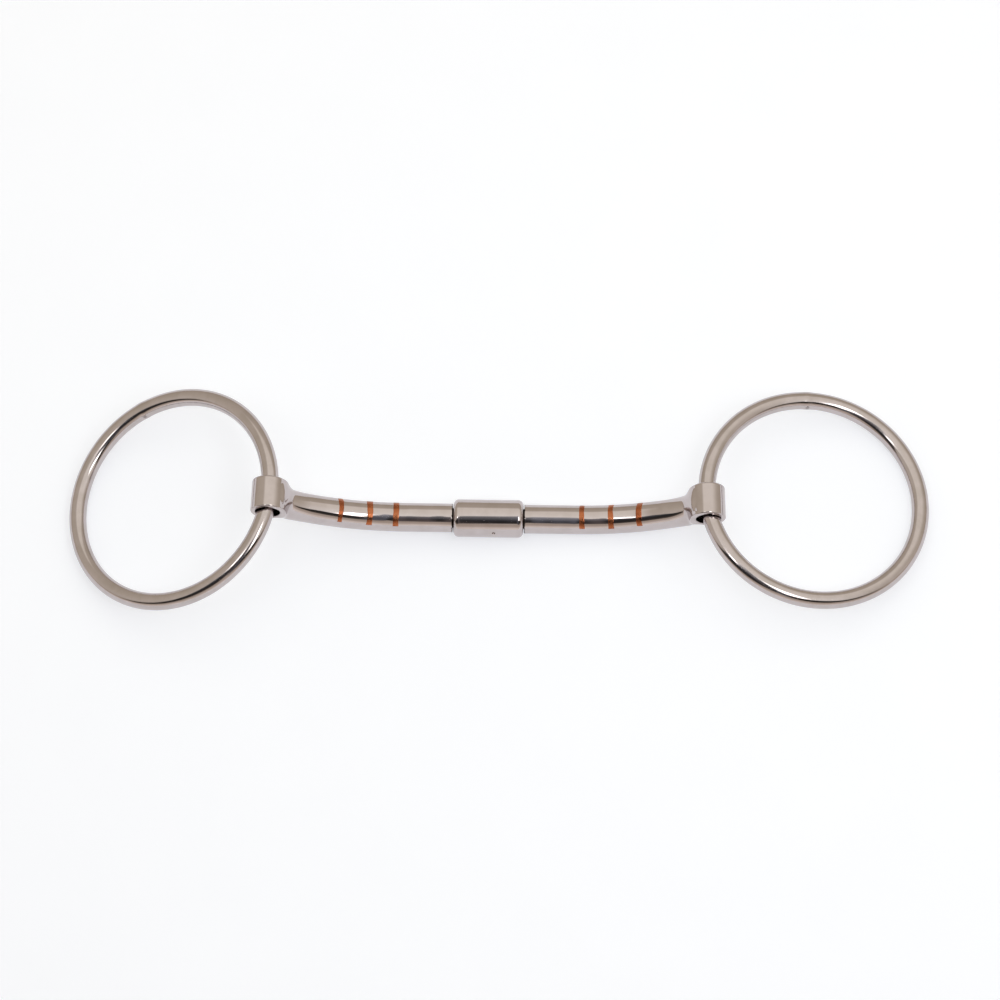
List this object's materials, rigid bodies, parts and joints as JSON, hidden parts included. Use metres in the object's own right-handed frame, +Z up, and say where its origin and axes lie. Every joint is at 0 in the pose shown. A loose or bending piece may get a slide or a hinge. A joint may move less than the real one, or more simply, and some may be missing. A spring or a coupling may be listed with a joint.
{
  "type": "snaffle bit",
  "caption": "Loose-ring snaffle bit: curved bar with copper inlays, jointed at a barrel in its middle, with a round wire ring running through the eye at each end.",
  "frame": {"origin": "on the ground under the middle of the whole bit as it lies; the barrel's middle is 2.0 mm to -X and 4.0 mm to -Y of it", "axes": "+X along the mouthpiece from the left ring to the right ring (the barrel axis dips 3.4 degrees towards +X); +Y along the collar bores, the side the rings have slid to; +Z up from the ground, the side the mouthpiece's ends rise to"},
  "size_m": [0.2531, 0.0686, 0.0291],
  "materials": {
    "mouth_steel": "polished stainless steel",
    "barrel_steel": "polished stainless steel",
    "ring_steel": "polished stainless steel wire",
    "copper": "polished copper, slightly dull",
    "bronze": "turned bearing bronze",
    "inner_steel": "turned steel, unpolished"
  },
  "bodies": {
    "barrel": {"barrel_sleeve": "barrel_steel", "left_end_bush": "bronze", "right_end_bush": "bronze"},
    "left_arm": {"left_mouth_arm": "mouth_steel", "left_stop_dog": "inner_steel", "left_inlay_inner": "copper", "left_inlay_middle": "copper", "left_inlay_outer": "copper"},
    "left_liner": {"left_bore_liner": "inner_steel"},
    "left_ring": {"left_ring": "ring_steel"},
    "right_arm": {"right_mouth_arm": "mouth_steel", "right_stop_dog": "inner_steel", "right_inlay_inner": "copper", "right_inlay_middle": "copper", "right_inlay_outer": "copper"},
    "right_liner": {"right_bore_liner": "inner_steel"},
    "right_ring": {"right_ring": "ring_steel"}
  },
  "joints": [
    {"name": "left_arm_twist", "type": "hinge", "parent": "barrel", "child": "left_arm", "pos_m": [-0.002, -0.004, 0.00606], "axis": [0.9982, 0, -0.0593], "range_deg": [-30, 30]},
    {"name": "left_ring_swing", "type": "hinge", "parent": "left_arm", "child": "left_liner", "pos_m": [-0.06454, -0.004, 0.02405], "axis": [0.0261, 0.9997, -0.0016], "range_deg": [-127, 178]},
    {"name": "left_ring_slip", "type": "hinge", "parent": "left_liner", "child": "left_ring", "pos_m": [-0.09418, -0.00002, 0.01337], "axis": [-0.3408, -0.0175, 0.94], "continuous": true},
    {"name": "right_arm_twist", "type": "hinge", "parent": "barrel", "child": "right_arm", "pos_m": [-0.002, -0.004, 0.00606], "axis": [0.9982, 0, -0.0593], "range_deg": [-30, 30]},
    {"name": "right_ring_swing", "type": "hinge", "parent": "right_arm", "child": "right_liner", "pos_m": [0.06223, -0.004, 0.01651], "axis": [0.0261, -0.9997, -0.0016], "range_deg": [-141, 164]},
    {"name": "right_ring_slip", "type": "hinge", "parent": "right_liner", "child": "right_ring", "pos_m": [0.09295, -0.00002, 0.00953], "axis": [0.2162, 0.0419, 0.9754], "continuous": true}
  ]
}
